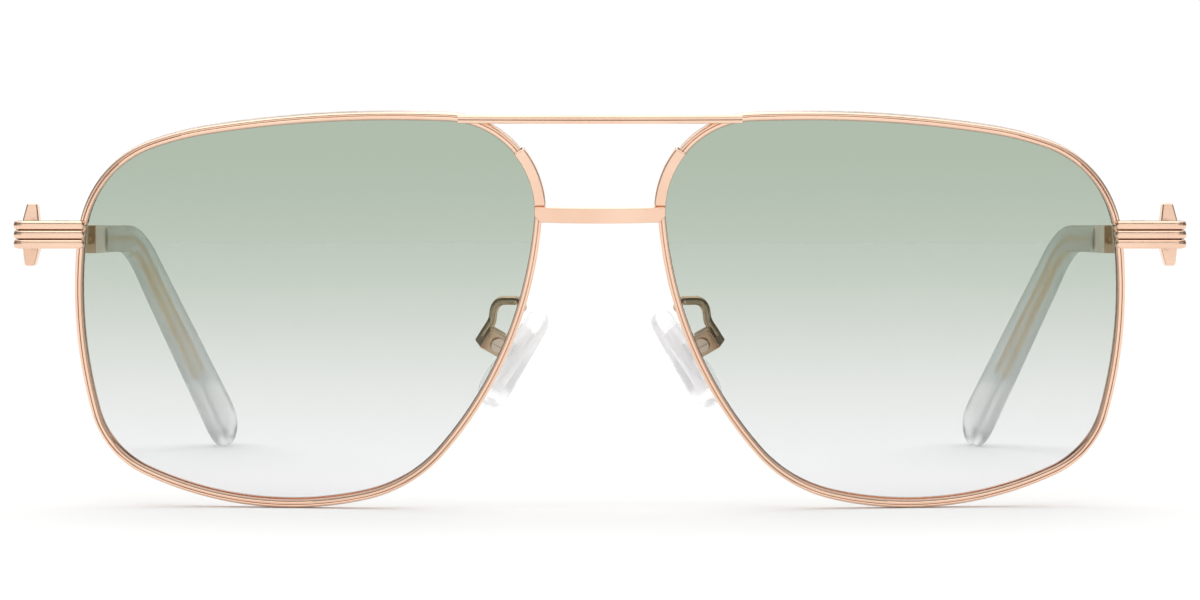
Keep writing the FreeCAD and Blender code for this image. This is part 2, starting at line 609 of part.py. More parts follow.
def bent_line(points, radius):
    """Straight runs through the points, joined by tangent arcs of one radius."""
    edges = []
    last = points[0]
    for before, corner, after in zip(points, points[1:], points[2:]):
        arriving, leaving = (corner - before).normalize(), (after - corner).normalize()
        half_turn = arriving.getAngle(leaving) / 2
        setback = radius * math.tan(half_turn)
        first, second = corner - arriving * setback, corner + leaving * setback
        toward = (leaving - arriving).normalize()
        middle = corner + toward * (radius / math.cos(half_turn) - radius)
        edges += [Part.LineSegment(last, first).toShape(), Part.Arc(first, middle, second).toShape()]
        last = second
    edges.append(Part.LineSegment(last, points[-1]).toShape())
    return Part.Wire(edges)


def wire_along(name, path, radius):
    """A round wire of one radius along a path, as a sweep."""
    spine = doc.addObject("Part::Feature", f"{name}_path")
    spine.Shape = path
    first = path.Edges[0]
    start = first.valueAt(first.FirstParameter)
    facing = Rotation(Vector(0, 0, 1), first.tangentAt(first.FirstParameter))
    ring = doc.addObject("Part::Circle", f"{name}_section")
    ring.Placement = Placement(start, facing)
    bind(ring, Radius=radius)
    sweep = doc.addObject("Part::Sweep", name)
    sweep.Sections = [ring]
    sweep.Spine = (spine, [f"Edge{i}" for i in range(1, len(path.Edges) + 1)])
    sweep.Solid = True
    sweep.Frenet = False
    return sweep


def make_ferrule(core_room):
    side_view = rectangle("dims.arm_end_y", "dims.ferrule_end_y", "dims.ferrule_low",
                          "dims.ferrule_top")
    plan = rectangle("dims.ferrule_inner_x", "dims.ferrule_outer_x", "dims.arm_end_y",
                     "dims.ferrule_end_y")
    return cut("temple_ferrule", two_views("temple_ferrule", side_view, plan), core_room)


# ---------------------------------------------------------------- nose pad

PAD_PIVOT = ("dims.pad_pivot_out", "dims.pad_pivot_up")


def make_pad_core():
    """A plate inside the pad, with a tab that stands out of it to the screw."""
    body = prism("pad_core", "YZ_Plane",
                 rectangle("-dims.plate_half_width", "dims.plate_half_width",
                           "-dims.plate_half_length", "dims.plate_half_length"),
                 "2 * dims.plate_half_thickness", symmetric=True)
    across, up = PAD_PIVOT
    polygon_feature(body, "Pad", "pad_core_tab", "XZ_Plane",
                    rectangle("0", across, f"{up} - dims.tab_radius", f"{up} + dims.tab_radius"),
                    "2 * dims.tab_half_thickness", symmetric=True)
    circle_feature(body, "Pad", "pad_core_eye", "XZ_Plane", PAD_PIVOT, "dims.tab_radius",
                   "2 * dims.tab_half_thickness", symmetric=True)
    circle_feature(body, "Pocket", "pad_core_bore", "XZ_Plane", PAD_PIVOT,
                   "dims.pad_screw_radius + dims.screw_play", str(THROUGH), symmetric=True)
    return in_pad_frame(body)


def make_nose_pad(core):
    """A teardrop with a round top and a wider round bottom, softened all round."""
    top, low = "dims.pad_top_radius", "dims.pad_low_radius"
    top_z, low_z = f"dims.pad_half_length - {top}", f"-dims.pad_half_length + {low}"
    corners = [(f"-{low}", low_z), (low, low_z), (top, top_z), (f"-{top}", top_z)]
    rounds = {0: ("0", "-dims.pad_half_length"), 2: ("0", "dims.pad_half_length")}
    body = prism("nose_pad_blank", "YZ_Plane", corners, "2 * dims.pad_half_thickness",
                 symmetric=True, bulges=rounds)
    doc.recompute()
    plain = body.Tip
    flat = size("pad_half_thickness") - 0.01
    names = [f"Edge{i}" for i, edge in enumerate(plain.Shape.Edges, 1)
             if abs(edge.CenterOfMass.x) > flat]
    soft = body.newObject("PartDesign::Fillet", "nose_pad_softened")
    soft.Base = (plain, names)
    bind(soft, Radius="dims.pad_round")
    body.Tip = soft
    return cut("nose_pad", in_pad_frame(body), core)


def make_pad_box():
    across, up = PAD_PIVOT
    body = prism("pad_box", "XZ_Plane",
                 rectangle(f"{across} - dims.box_open", f"{across} + dims.box_back",
                           f"{up} - dims.box_half_height", f"{up} + dims.box_half_height"),
                 "2 * dims.cheek_outer", symmetric=True)
    polygon_feature(body, "Pocket", "pad_box_slot", "XY_Plane",
                    rectangle(f"{across} - dims.box_open - 1", f"{across} + dims.box_floor",
                              "-dims.cheek_inner", "dims.cheek_inner"),
                    str(THROUGH), symmetric=True)
    circle_feature(body, "Pocket", "pad_box_bore", "XZ_Plane", PAD_PIVOT, "dims.pad_screw_radius",
                   str(THROUGH), symmetric=True)
    return in_pad_frame(body)


def make_pad_screw():
    return in_pad_frame(slotted_screw(
        "pad_screw", "XZ_Plane", PAD_PIVOT, "dims.cheek_outer", "dims.pad_screw_radius",
        "dims.pad_screw_head_radius"))


def make_pad_arm(blank, box):
    """The wire leaves the back of the rim, loops over and comes down to the box."""
    frame = Placement(temple_point(size("pad_x"), size("pad_y"), size("pad_z")), pad_rotation())
    behind = size("pad_pivot_out") + size("box_back") - size("wire_box_gap")
    box_top = size("pad_pivot_up") + size("box_half_height")
    above_box = frame.multVec(Vector(behind, 0, box_top + size("wire_above_box")))
    inside_box = frame.multVec(Vector(behind, 0, box_top - size("wire_in_box")))
    points = [temple_point(*(size(f"wire_{place}_{axis}") for axis in "xyz"))
              for place in ("rim", "loop", "back")]
    path = bent_line(points + [above_box, inside_box], size("wire_bend"))
    return cut("pad_arm", wire_along("pad_arm_wire", path, "dims.wire_radius"), blank, box)


# ---------------------------------------------------------------- the whole pair

def mirrored(source, name):
    made = doc.addObject("Part::Mirroring", name)
    made.Source = source
    made.Normal = Vector(1, 0, 0)
    made.Base = Vector(0, 0, 0)
    return made


blank = make_rim_blank()
pad_core = make_pad_core()
pad_box = make_pad_box()
upper_block, lower_block = make_closing_blocks(blank)
core_wire = wire_along("core_wire", core_path(size("arm_end_y"), size("core_length")),
                       "dims.core_radius")
core_room = wire_along("core_room", core_path(size("arm_end_y") - 1, size("core_length") + 0.1),
                       "dims.core_radius + dims.core_play")

one_side = {
    "rim": make_rim(blank),
    "lens": make_lens(),
    "bridge_leg": make_bridge_leg(blank),
    "end_piece": make_end_piece(blank),
    "closing_block_upper": upper_block,
    "closing_block_lower": lower_block,
    "closing_screw": make_closing_screw(),
    "front_hinge": make_front_hinge(),
    "temple_hinge": make_temple_hinge(),
    "hinge_screw": make_hinge_screw(),
    "temple_bar": make_temple_bar(),
    "temple_arm": make_temple_arm(),
    "temple_ferrule": make_ferrule(core_room),
    "core_wire": core_wire,
    "temple_tip": make_temple_tip(core_room),
    "pad_arm": make_pad_arm(blank, pad_box),
    "pad_box": pad_box,
    "pad_screw": make_pad_screw(),
    "pad_core": pad_core,
    "nose_pad": make_nose_pad(pad_core),
}
pieces = {f"left_{name}": piece for name, piece in one_side.items()}
pieces |= {f"right_{name}": mirrored(piece, f"right_{name}") for name, piece in one_side.items()}
both_blanks = (blank, mirrored(blank, "right_rim_blank"))
pieces["brow_bar"] = make_brow_bar(both_blanks)
pieces["bridge"] = make_bridge(both_blanks)
doc.recompute()

for thing in doc.Objects:
    if {"Invalid", "Error"} & set(thing.State):
        raise RuntimeError(f"{thing.Name} failed: {thing.State}")

os.makedirs("parts", exist_ok=True)
for node, piece in pieces.items():
    piece.Label = node
    shape = piece.Shape
    if shape.isNull() or not shape.isValid() or len(shape.Solids) != 1:
        raise RuntimeError(f"{node} is not one sound solid: {len(shape.Solids)}")
    shape.exportStep(f"parts/{node}.step")

low = Vector(min(p.Shape.BoundBox.XMin for p in pieces.values()),
             min(p.Shape.BoundBox.YMin for p in pieces.values()),
             min(p.Shape.BoundBox.ZMin for p in pieces.values()))
high = Vector(max(p.Shape.BoundBox.XMax for p in pieces.values()),
              max(p.Shape.BoundBox.YMax for p in pieces.values()),
              max(p.Shape.BoundBox.ZMax for p in pieces.values()))
print(len(pieces), "pieces, from", tuple(round(v, 3) for v in low),
      "to", tuple(round(v, 3) for v in high))
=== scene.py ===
# %% [markdown]
# # A pair of metal aviator sunglasses
# The frame is already designed: it comes in as plain metal and plastic solids that know where
# they are and how they move. This lesson gives them their looks. Fine wire rims are swept along
# their outline, the clear parts are modelled as clear parts, and every edge is softened, because
# polished metal is mostly seen in the highlights along its edges.

# %% Load the frame
import json
import math

import bmesh
import bpy
from mathutils import Matrix, Vector


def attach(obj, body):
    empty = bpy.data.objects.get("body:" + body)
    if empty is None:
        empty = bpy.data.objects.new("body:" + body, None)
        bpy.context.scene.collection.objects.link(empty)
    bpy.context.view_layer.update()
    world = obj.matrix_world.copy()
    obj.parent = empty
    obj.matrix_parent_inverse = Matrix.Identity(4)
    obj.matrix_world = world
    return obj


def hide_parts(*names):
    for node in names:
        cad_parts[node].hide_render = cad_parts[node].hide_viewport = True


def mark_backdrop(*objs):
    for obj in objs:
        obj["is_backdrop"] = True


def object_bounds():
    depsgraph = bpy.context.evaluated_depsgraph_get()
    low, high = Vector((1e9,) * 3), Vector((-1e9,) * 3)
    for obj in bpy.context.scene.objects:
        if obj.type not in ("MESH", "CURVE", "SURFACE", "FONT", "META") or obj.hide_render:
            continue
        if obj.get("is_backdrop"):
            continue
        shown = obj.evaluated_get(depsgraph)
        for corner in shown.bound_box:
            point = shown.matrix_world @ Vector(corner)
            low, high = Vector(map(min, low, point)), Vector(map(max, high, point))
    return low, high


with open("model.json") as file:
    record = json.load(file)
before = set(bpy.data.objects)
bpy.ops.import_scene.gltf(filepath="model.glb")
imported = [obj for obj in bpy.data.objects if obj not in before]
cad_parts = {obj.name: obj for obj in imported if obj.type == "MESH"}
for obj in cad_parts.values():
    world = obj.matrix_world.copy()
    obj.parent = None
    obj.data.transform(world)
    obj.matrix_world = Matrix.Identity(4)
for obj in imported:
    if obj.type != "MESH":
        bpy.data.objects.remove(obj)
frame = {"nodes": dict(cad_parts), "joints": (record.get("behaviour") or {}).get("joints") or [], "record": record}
cad_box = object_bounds()
MM = 0.001

# %% [markdown]
# ## Two frames to measure in
# The front leans forward at the top by nine degrees, so its sizes are easiest to give in a frame
# that leans with it. Both frames start at one pivot, on the middle plane at the height of the
# hinges. The hinge joint of the loaded model says where that is.

# %% The pivot and the leaning frame
TILT = math.radians(9)
HINGE_BEHIND_FRONT = 12.63 * MM

hinge = next(joint for joint in frame["joints"] if joint["name"] == "left_temple_fold")
PIVOT = Vector((0, hinge["pos_m"][1] - HINGE_BEHIND_FRONT, hinge["pos_m"][2]))
LEVEL = Matrix.Translation(PIVOT)
LEANING = LEVEL @ Matrix.Rotation(TILT, 4, "X")
print("pivot at", [round(v / MM, 2) for v in PIVOT], "mm")

# %% [markdown]
# ## The camera
# A long lens keeps the rims from bulging towards us. It stands level with the hinges, a little
# above, and looks slightly down, so that the temple tips show through the lenses.

# %% Camera
CAMERA_DISTANCE = 450 * MM
CAMERA_ABOVE_PIVOT = 1.5 * MM
LENS_MM = 106.13
LOOK_DOWN = math.radians(1.247)

camera_data = bpy.data.cameras.new("camera")
camera_data.lens = LENS_MM
camera_data.sensor_width = 36
camera_data.clip_start = 0.01
camera = bpy.data.objects.new("camera", camera_data)
camera.location = PIVOT + Vector((0, -CAMERA_DISTANCE, CAMERA_ABOVE_PIVOT))
camera.rotation_euler = (math.radians(90) - LOOK_DOWN, 0, 0)
bpy.context.scene.collection.objects.link(camera)
bpy.context.scene.camera = camera
print("camera", round((camera.location - PIVOT).length, 3), "m from the pivot")

# %% [markdown]
# ## Writing shaders as sums
# A material here is a board of nodes. One small class wraps a number on that board, so that
# `0.1 + 0.2 * grain` adds the Math nodes by itself. Every other node comes from one method.


# %% Shader board
class Number:
    """A value on a shader board that can be used in sums."""

    def __init__(self, board, socket):
        self.board = board
        self.socket = socket

    def maths(self, operation, first, second):
        return self.board.node("ShaderNodeMath", {"operation": operation}, {0: first, 1: second})

    def __add__(self, other):
        return self.maths("ADD", self, other)

    def __sub__(self, other):
        return self.maths("SUBTRACT", self, other)

    def __rsub__(self, other):
        return self.maths("SUBTRACT", other, self)

    def __mul__(self, other):
        return self.maths("MULTIPLY", self, other)

    __radd__ = __add__
    __rmul__ = __mul__

    def power(self, exponent):
        return self.maths("POWER", self, exponent)


class Board:
    """The nodes of one material, or of the world."""

    def __init__(self, owner):
        owner.use_nodes = True
        self.tree = owner.node_tree
        self.tree.nodes.clear()

    def node(self, kind, settings=None, values=None, output=0):
        made = self.tree.nodes.new(kind)
        for name, setting in (settings or {}).items():
            setattr(made, name, setting)
        for name, value in (values or {}).items():
            if isinstance(value, Number):
                self.tree.links.new(value.socket, made.inputs[name])
            else:
                made.inputs[name].default_value = value
        return Number(self, made.outputs[output])

    def finish(self, surface, kind="ShaderNodeOutputMaterial"):
        self.tree.links.new(surface.socket, self.tree.nodes.new(kind).inputs["Surface"])

    def places(self, scale=(1, 1, 1)):
        """Object coordinates, stretched."""
        here = self.node("ShaderNodeTexCoord", output="Object")
        return self.node("ShaderNodeMapping", values={"Vector": here, "Scale": scale})

    def noise(self, where, scale, detail):
        return self.node("ShaderNodeTexNoise", values={
            "Vector": where, "Scale": scale, "Detail": detail})

    def range(self, value, low, high, to_low=0.0, to_high=1.0):
        return self.node("ShaderNodeMapRange", {"interpolation_type": "SMOOTHSTEP"}, {
            "Value": value, "From Min": low, "From Max": high, "To Min": to_low,
            "To Max": to_high})

    def colours(self, factor, first, second):
        first, second = [c if isinstance(c, Number) else (*c, 1) for c in (first, second)]
        return self.node("ShaderNodeMix", {"data_type": "RGBA"}, {
            "Factor": factor, 6: first, 7: second}, output=2)

    def bump(self, height, strength, distance):
        return self.node("ShaderNodeBump", values={
            "Height": height, "Strength": strength, "Distance": distance}, output="Normal")


def new_board(name):
    material = bpy.data.materials.new(name)
    return material, Board(material)


# %% [markdown]
# ## Rose gold
# The frame is brass wire with a polished rose gold plating. Real plating is never one colour: it
# is a touch redder where it is thick, and carries fine drawing lines and small rubbed spots that
# only show in its reflections. So the colour moves a little, the roughness moves more, and the
# lines are a very shallow bump. Shade is painted into the colour as well: a dark colour goes into
# the creases and along a few edges, wherever a swept piece carries a mark for it.

# %% Rose gold
ROSE_LIGHT = (0.93, 0.66, 0.50)
ROSE_DEEP = (0.84, 0.55, 0.40)
# Painted shade: the dark colour mixed into creases and along dark edges.
PAINTED_SHADE = (0.07, 0.04, 0.03)


def rose_gold(name, light=ROSE_LIGHT, deep=ROSE_DEEP, polish=0.13, lines=(900, 900, 9000)):
    """Polished plating. A lower polish is shinier; lines stretches the drawing lines."""
    material, board = new_board(name)
    cloud = board.noise(board.places(), 55, detail=4)
    # The mark read here says where shade is painted into the colour.
    painted_shade_mark = board.node("ShaderNodeAttribute", {"attribute_name": "painted_shade_mark"}, output="Fac")
    rubbed = board.range(board.noise(board.places(), 420, detail=5), 0.48, 0.72)
    drawn = board.noise(board.places(lines), 1.0, detail=2)
    shiny = board.node("ShaderNodeBsdfPrincipled", values={
        "Base Color": board.colours(
            painted_shade_mark, board.colours(board.range(cloud, 0.3, 0.7), light, deep), PAINTED_SHADE),
        "Metallic": 1.0,
        "Roughness": polish + 0.07 * rubbed + 0.06 * drawn,
        "Normal": board.bump(drawn, 0.12, 0.02 * MM)})
    board.finish(shiny)
    return material


PLATING = rose_gold("rose_gold")
WIRE_PLATING = rose_gold("rose_gold_wire", deep=(0.88, 0.60, 0.45), polish=0.10)
BROWN_GOLD = rose_gold("champagne_gold", light=(0.66, 0.50, 0.37), deep=(0.46, 0.33, 0.23),
                       polish=0.16)
CORE_GOLD = rose_gold("core_gold", light=(0.95, 0.66, 0.36), deep=(0.85, 0.55, 0.28), polish=0.22)
SCREW_STEEL = rose_gold("screw_plating", light=(0.80, 0.66, 0.56), deep=(0.62, 0.48, 0.40),
                        polish=0.2, lines=(6000, 6000, 6000))
print("five metals, all from one recipe")

# %% [markdown]
# ## The tinted lenses
# A gradient lens is dipped in dye: it comes out of the bath slowly, so the top takes the most
# colour. Light goes straight through it, so it is made of two clear films, one plain and one
# green, mixed by height, with a thin coat of reflection that is stronger at grazing angles.
# Each ray passes two faces, so one face has half of the tint.

# %% Lens material
TINT_GREEN = (0.668, 0.722, 0.655)
TINT_TOP = 13 * MM
TINT_BOTTOM = -34 * MM


def gradient_lens():
    material, board = new_board("gradient_lens")
    where = board.node("ShaderNodeSeparateXYZ", values={
        "Vector": board.node("ShaderNodeTexCoord", output="Object")}, output="Z")
    cloud = board.noise(board.places(), 30, detail=2)
    height = where + 0.0012 * cloud
    dyed = board.range(height, PIVOT.z + TINT_BOTTOM, PIVOT.z + TINT_TOP)
    plain = board.node("ShaderNodeBsdfTransparent", values={"Color": (0.94, 0.94, 0.945, 1)})
    green = board.node("ShaderNodeBsdfTransparent", values={"Color": (*TINT_GREEN, 1)})
    film = board.node("ShaderNodeMixShader", values={0: dyed, 1: plain, 2: green})
    smear = board.range(board.noise(board.places(), 160, detail=5), 0.5, 0.8)
    shine = board.node("ShaderNodeBsdfPrincipled", values={
        "Base Color": (0.02, 0.03, 0.02, 1), "Roughness": 0.02 + 0.05 * smear,
        "Specular IOR Level": 1.0})
    grazing = board.node("ShaderNodeLayerWeight", values={"Blend": 0.5}, output="Facing")
    mirror = 0.025 + 0.6 * grazing.power(5.0)
    board.finish(board.node("ShaderNodeMixShader", values={0: mirror, 1: film, 2: shine}))
    return material


LENS = gradient_lens()

# %% [markdown]
# ## The clear plastics
# Acetate tips, silicone pads and the moulded insert inside each pad are all clear, but not
# equally. Acetate is polished and bends light most; silicone is soft, slightly cloudy and full of
# flow lines from its mould. A real refracting shader is used, because the gold wire inside the
# tip has to look thicker than it is, as in a rod of glass. The tips are smoky above and clearer at
# their low end. A very faint glow stands for the light that silicone scatters inside itself.


# %% Clear plastics
SMOKE = (0.80, 0.84, 0.84)
CLEAR_BELOW, SMOKY_ABOVE = -25.5 * MM, -23.5 * MM


def clear_plastic(name, tint, shade, refraction, gloss, flow, flow_depth, through=1.0,
                  glow=0.0, smoky=False):
    material, board = new_board(name)
    cloud = board.range(board.noise(board.places(), 90, detail=3), 0.35, 0.7)
    streaks = board.noise(board.places(flow), 1.0, detail=3)
    colour, rough = board.colours(cloud, tint, shade), gloss + 0.08 * cloud
    if smoky:
        height = board.node("ShaderNodeSeparateXYZ", values={"Vector": board.places()}, output="Z")
        smoke = board.range(height, PIVOT.z + CLEAR_BELOW, PIVOT.z + SMOKY_ABOVE)
        colour, rough = board.colours(smoke, colour, SMOKE), rough + 0.16 * smoke
    board.finish(board.node("ShaderNodeBsdfPrincipled", values={
        "Base Color": colour,
        "Roughness": rough,
        "IOR": refraction,
        "Transmission Weight": through,
        "Emission Color": (1, 1, 1, 1),
        "Emission Strength": glow,
        "Normal": board.bump(streaks, 0.35, flow_depth)}))
    return material


ACETATE = clear_plastic("clear_acetate", (0.97, 0.98, 0.975), (0.93, 0.95, 0.94), 1.46, 0.34,
                        (350, 90, 350), 0.12 * MM, smoky=True)
# The faint glow on the silicone and on the insert is painted light, standing for light scattered inside them.
SILICONE = clear_plastic("clear_silicone", (0.98, 0.98, 0.99), (0.95, 0.95, 0.97), 1.30, 0.08,
                         (900, 900, 180), 0.14 * MM, through=0.75, glow=0.1)
INSERT = clear_plastic("clear_insert", (0.96, 0.95, 0.95), (0.93, 0.92, 0.93), 1.33, 0.10,
                       (1500, 1500, 300), 0.05 * MM, through=0.8, glow=0.05)
print("three clear plastics")

# %% [markdown]
# ## Working with meshes
# A few helpers do most of the work from here. One turns rings of points into a closed skin, one
# gives a mesh its mirror twin, and one settles a piece: which body it rides on and which plain
# solid it stands for. A piece gets its finish when it is made.

# %% Mesh helpers
SHARP_ANGLE = math.radians(38)


def new_piece(name, mesh, material):
    mesh.materials.clear()
    mesh.materials.append(material)
    piece = bpy.data.objects.new(name, mesh)
    bpy.context.scene.collection.objects.link(piece)
    return piece


def shade(mesh, sharp=SHARP_ANGLE):
    mesh.shade_smooth()
    mesh.set_sharp_from_angle(angle=sharp)
    return mesh


def skin(rings, poles=(None, None)):
    """A mesh over rings of points. Its ends close on pole points, or flat where there is none."""
    count = len(rings[0])
    points = [p for ring in rings for p in ring]
    faces = []
    last_ring = (len(rings) - 1) * count
    for here in range(0, last_ring, count):
        for j in range(count):
            k = (j + 1) % count
            faces.append((here + j, here + k, here + count + k, here + count + j))
    for start, pole in ((0, poles[0]), (last_ring, poles[1])):
        rim = list(range(start, start + count))
        if start == 0:
            rim.reverse()
        if pole is None:
            faces.append(rim)
        else:
            points.append(pole)
            faces += [(rim[j], rim[(j + 1) % count], len(points) - 1) for j in range(count)]
    mesh = bpy.data.meshes.new("skin")
    mesh.from_pydata([tuple(p) for p in points], [], faces)
    outward(mesh)
    return shade(mesh)


def outward(mesh):
    """Turn every face outwards."""
    bm = bmesh.new()
    bm.from_mesh(mesh)
    bmesh.ops.recalc_face_normals(bm, faces=bm.faces)
    if bm.calc_volume(signed=True) < 0:
        bmesh.ops.reverse_faces(bm, faces=bm.faces)
    bm.to_mesh(mesh)
    bm.free()


def mirror_twin(mesh):
    """The same mesh on the other side of the middle plane."""
    twin = mesh.copy()
    bm = bmesh.new()
    bm.from_mesh(twin)
    for vertex in bm.verts:
        vertex.co.x = -vertex.co.x
    bmesh.ops.reverse_faces(bm, faces=bm.faces)
    bm.to_mesh(twin)
    bm.free()
    return shade(twin)


BODY_OF = {node: body for body, nodes in frame["record"]["behaviour"]["bodies"].items()
           for node in nodes}
made_pieces = []


def settle(piece, node):
    """The piece stands for a node: it rides on that node's body, and the node is hidden."""
    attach(piece, BODY_OF[node])
    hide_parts(node)
    made_pieces.append(piece)
    return piece


def both_sides(part, mesh, material):
    """The left piece from a mesh, and the right one from its mirror twin."""
    for side, half in (("left", mesh), ("right", mirror_twin(mesh))):
        settle(new_piece(f"{side}_{part}_look", half, material), f"{side}_{part}")
    print(part, "has", len(mesh.polygons), "faces on each side")


# %% [markdown]
# ## The outline of a rim
# Seen from the front, a rim's middle line is a chain of ten round arcs, each tangent to the next.
# It starts at the top and turns clockwise. A radius and a turn describe each arc; two radii are
# left open and are solved here, so that the last arc ends where the first began.

# %% Rim outline
RIM_START = (25.8, 14.9)
RIM_ARCS = [
    (139.7, 10.1), (41.4, 10.4), (14.85, 61.6), (63.3, 21.5), (11.2, 53.3),
    (None, 37.2), (18.8, 35.7), (None, 35.5), (11.85, 92.7), (187.0, 2.0),
]
FRONT_RADIUS, CURVE_X, CURVE_Z = 175.0, 18.0, -10.0
STEP_LENGTH = 0.35


def closing_radii():
    heading, gap, open_arcs = 0.0, [0.0, 0.0], []
    for index, (radius, turn) in enumerate(RIM_ARCS):
        before, heading = heading, heading + math.radians(turn)
        step = (math.sin(heading) - math.sin(before), math.cos(heading) - math.cos(before))
        if radius is None:
            open_arcs.append((index, step))
        else:
            gap = [gap[0] + radius * step[0], gap[1] + radius * step[1]]
    (first, (a, c)), (second, (b, d)) = open_arcs
    size = a * d - b * c
    radii = [radius for radius, turn in RIM_ARCS]
    radii[first] = (b * gap[1] - d * gap[0]) / size
    radii[second] = (c * gap[0] - a * gap[1]) / size
    return radii


RADII = closing_radii()


def rim_points(outward_by=0.0, step=STEP_LENGTH):
    """Points (x, z) along the middle line moved outward, in millimetres."""
    x, z, heading, points = RIM_START[0], RIM_START[1] + outward_by, 0.0, []
    for radius, (_, turn) in zip(RADII, RIM_ARCS):
        r, sweep = radius + outward_by, math.radians(turn)
        centre = (x - r * math.sin(heading), z - r * math.cos(heading))
        parts = max(3, round(radius * sweep / step))
        for i in range(parts):
            angle = heading + sweep * i / parts
            points.append((centre[0] + r * math.sin(angle), centre[1] + r * math.cos(angle)))
        heading += sweep
        x, z = centre[0] + r * math.sin(heading), centre[1] + r * math.cos(heading)
    return points


def curve_depth(x, z, behind=0.0):
    """How far back the curve of the front is at a point, in millimetres."""
    reach = FRONT_RADIUS - behind
    return FRONT_RADIUS - math.sqrt(reach ** 2 - (x - CURVE_X) ** 2 - (z - CURVE_Z) ** 2)


print("open radii:", [round(RADII[i], 2) for i in (5, 7)], "mm,", len(rim_points()), "points")

# %% [markdown]
# ## Sweeping a section along a path
# Rims, the brow bar and the reeds of the end pieces are all one section carried along a path, so
# they share one Geometry Nodes tree. The path is a line of edges, the section a flat loop. The
# path is laid out with its depth as height, because the curve's normals can then be held upright
# and the section never twists. The result is turned into the glasses' own frame afterwards.


# %% A sweep in Geometry Nodes
def line_object(name, points, closed=False):
    """A line of edges through points, as an object for a node tree."""
    mesh = bpy.data.meshes.new(name)
    edges = [(i, i + 1) for i in range(len(points) - 1)]
    if closed:
        edges.append((len(points) - 1, 0))
    mesh.from_pydata(points, edges, [])
    made = bpy.data.objects.new(name, mesh)
    bpy.context.scene.collection.objects.link(made)
    return made


def nodes_tree(name, inputs):
    """An empty Geometry Nodes tree with named inputs. Returns it with its two end nodes."""
    tree = bpy.data.node_groups.new(name, "GeometryNodeTree")
    tree.interface.new_socket("Geometry", in_out="INPUT", socket_type="NodeSocketGeometry")
    for label, kind, value in inputs:
        socket = tree.interface.new_socket(label, in_out="INPUT", socket_type=kind)
        if value is not None:
            socket.default_value = value
    tree.interface.new_socket("Geometry", in_out="OUTPUT", socket_type="NodeSocketGeometry")
    return tree, tree.nodes.new("NodeGroupInput"), tree.nodes.new("NodeGroupOutput")


def add_node(tree, kind, settings=None, **links):
    """A node of a tree, with its settings and what goes into its sockets."""
    made = tree.nodes.new(kind)
    for name, setting in (settings or {}).items():
        setattr(made, name, setting)
    for name, source in links.items():
        socket = made.inputs[name.replace("_", " ")]
        if isinstance(source, bpy.types.NodeSocket):
            tree.links.new(source, socket)
        else:
            socket.default_value = source
    return made


def add_maths(tree, operation, *terms, **settings):
    """A Math node of a tree on numbers or sockets. Returns its result."""
    made = add_node(tree, "ShaderNodeMath", {"operation": operation, **settings})
    for socket, term in zip(made.inputs, terms):
        if isinstance(term, bpy.types.NodeSocket):
            tree.links.new(term, socket)
        else:
            socket.default_value = term
    return made.outputs[0]


END_LEFT = 0.02   # share of the section's size, squared, that is left at a rounded end
FIRST_STEP = 0.001   # keeps the first section from shrinking to a point


def sweep_tree():
    tree, start, end = nodes_tree("swept_section", [
        ("Section", "NodeSocketObject", None),
        ("Material", "NodeSocketMaterial", None),
        ("Copies", "NodeSocketInt", 1),
        ("Spacing", "NodeSocketFloat", 0.0),
        ("Rounded End", "NodeSocketFloat", 0.0001)])
    path = add_node(tree, "GeometryNodeMeshToCurve", Mesh=start.outputs["Geometry"])
    upright = add_node(tree, "GeometryNodeSetCurveNormal", {"mode": "Z_UP"},
                       Curve=path.outputs["Curve"])
    along = add_node(tree, "GeometryNodeSplineParameter").outputs["Length"]
    reached = add_maths(tree, "ADD", along, FIRST_STEP)
    share = add_maths(tree, "DIVIDE", reached, start.outputs["Rounded End"], use_clamp=True)
    rest = add_maths(tree, "SUBTRACT", 1.0, share)
    square = add_maths(tree, "MULTIPLY", rest, rest)
    fall = add_maths(tree, "MULTIPLY_ADD", square, END_LEFT - 1, 1.0)
    round_off = add_maths(tree, "SQRT", fall)
    section = add_node(tree, "GeometryNodeObjectInfo", Object=start.outputs["Section"])
    loop = add_node(tree, "GeometryNodeMeshToCurve", Mesh=section.outputs["Geometry"])
    swept = add_node(tree, "GeometryNodeCurveToMesh", Curve=upright.outputs["Curve"],
                     Profile_Curve=loop.outputs["Curve"], Fill_Caps=True, Scale=round_off)
    offset = add_node(tree, "ShaderNodeCombineXYZ")
    tree.links.new(start.outputs["Spacing"], offset.inputs["Z"])
    places = add_node(tree, "GeometryNodeMeshLine", Count=start.outputs["Copies"],
                      Offset=offset.outputs[0])
    copies = add_node(tree, "GeometryNodeInstanceOnPoints", Points=places.outputs["Mesh"],
                      Instance=swept.outputs["Mesh"])
    real = add_node(tree, "GeometryNodeRealizeInstances", Geometry=copies.outputs["Instances"])
    painted = add_node(tree, "GeometryNodeSetMaterial", Geometry=real.outputs["Geometry"],
                       Material=start.outputs["Material"])
    tree.links.new(painted.outputs["Geometry"], end.inputs["Geometry"])
    return tree


SWEEP = sweep_tree()


def run_tree(tree, base, inputs):
    """Run a node tree on an object and return its plain mesh."""
    modifier = base.modifiers.new("nodes", "NODES")
    modifier.node_group = tree
    sockets = {item.name: item.identifier for item in tree.interface.items_tree
               if item.in_out == "INPUT"}
    for name, value in inputs.items():
        modifier[sockets[name]] = value
    base.update_tag()
    graph = bpy.context.evaluated_depsgraph_get()
    mesh = bpy.data.meshes.new_from_object(base.evaluated_get(graph), depsgraph=graph)
    base.modifiers.remove(modifier)
    return mesh


